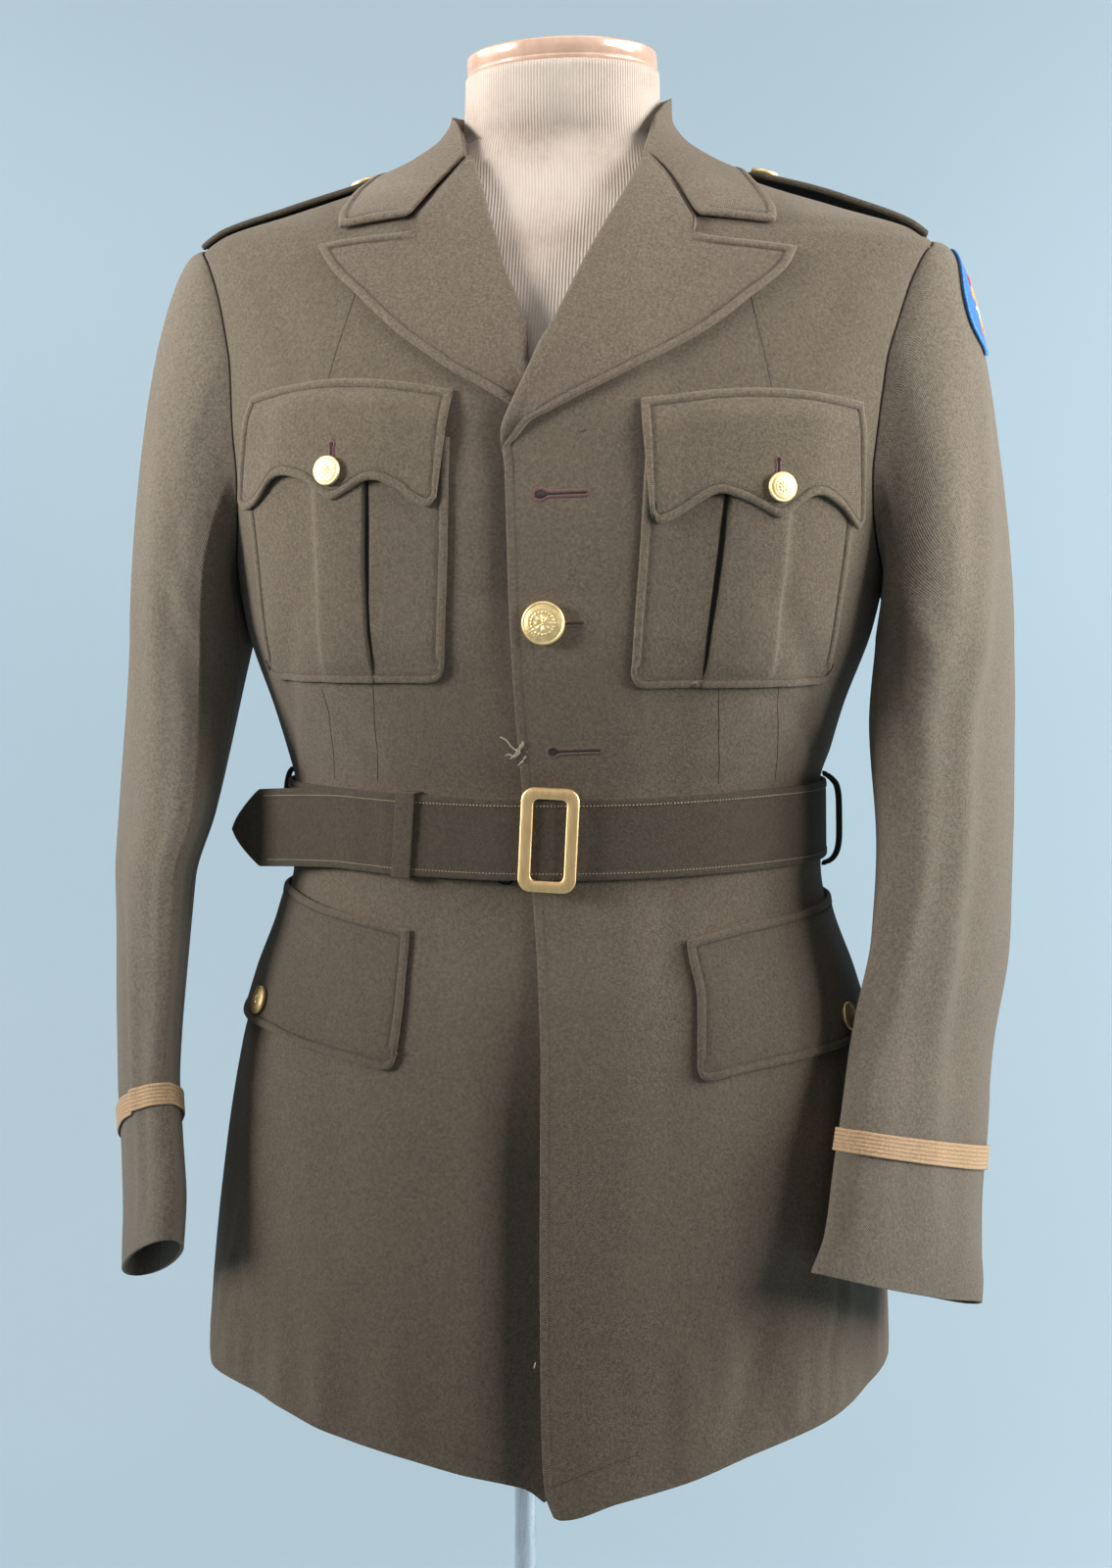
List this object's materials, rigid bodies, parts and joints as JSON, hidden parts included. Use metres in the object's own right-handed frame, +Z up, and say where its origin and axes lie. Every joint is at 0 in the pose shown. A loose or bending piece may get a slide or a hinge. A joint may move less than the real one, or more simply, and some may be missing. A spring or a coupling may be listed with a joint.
{
  "type": "military dress tunic on a limbless dress form",
  "caption": "Belted wool dress tunic with notched lapels, scalloped breast pocket flaps, shoulder loops and cuff braid, on a limbless dress form with a round-footed pole stand.",
  "frame": {"origin": "centre of the stand's round foot, on the floor", "axes": "+Z up; -Y is the coat's front, the way it faces; +X is the wearer's left"},
  "size_m": [0.532, 0.3246, 1.5832],
  "materials": {
    "coat_wool": "fine olive-brown wool twill with a short nap",
    "belt_wool": "darker, greener wool twill with close stitch rows",
    "brass": "polished, soft edged",
    "braid": "tan ribbed braid",
    "patch_felt": null,
    "form_knit": "fine ribbed knit cover",
    "cap_plastic": "glossy, skin tone",
    "stand_steel": "satin"
  },
  "bodies": {
    "root": {"front_left": "coat_wool", "front_right": "coat_wool", "back_left": "coat_wool", "back_right": "coat_wool", "sleeve_top_left": "coat_wool", "sleeve_top_right": "coat_wool", "sleeve_under_left": "coat_wool", "sleeve_under_right": "coat_wool", "lapel_left": "coat_wool", "lapel_right": "coat_wool", "collar": "coat_wool", "pocket_left": "coat_wool", "pocket_right": "coat_wool", "flap_upper_left": "coat_wool", "flap_upper_right": "coat_wool", "flap_lower_left": "coat_wool", "flap_lower_right": "coat_wool", "shoulder_loop_left": "coat_wool", "shoulder_loop_right": "coat_wool", "belt_loop_left": "coat_wool", "belt_loop_right": "coat_wool", "belt": "belt_wool", "belt_keeper": "belt_wool", "button_front": "brass", "button_upper_left": "brass", "button_upper_right": "brass", "button_lower_left": "brass", "button_lower_right": "brass", "button_shoulder_left": "brass", "button_shoulder_right": "brass", "buckle": "brass", "buckle_bar": "brass", "cuff_braid_left": "braid", "cuff_braid_right": "braid", "shoulder_patch_left": "patch_felt", "form_torso": "form_knit", "neck_cap": "cap_plastic", "stand_pole": "stand_steel", "stand_flange": "stand_steel", "stand_socket": "stand_steel", "stand_foot": "stand_steel"}
  },
  "joints": []
}
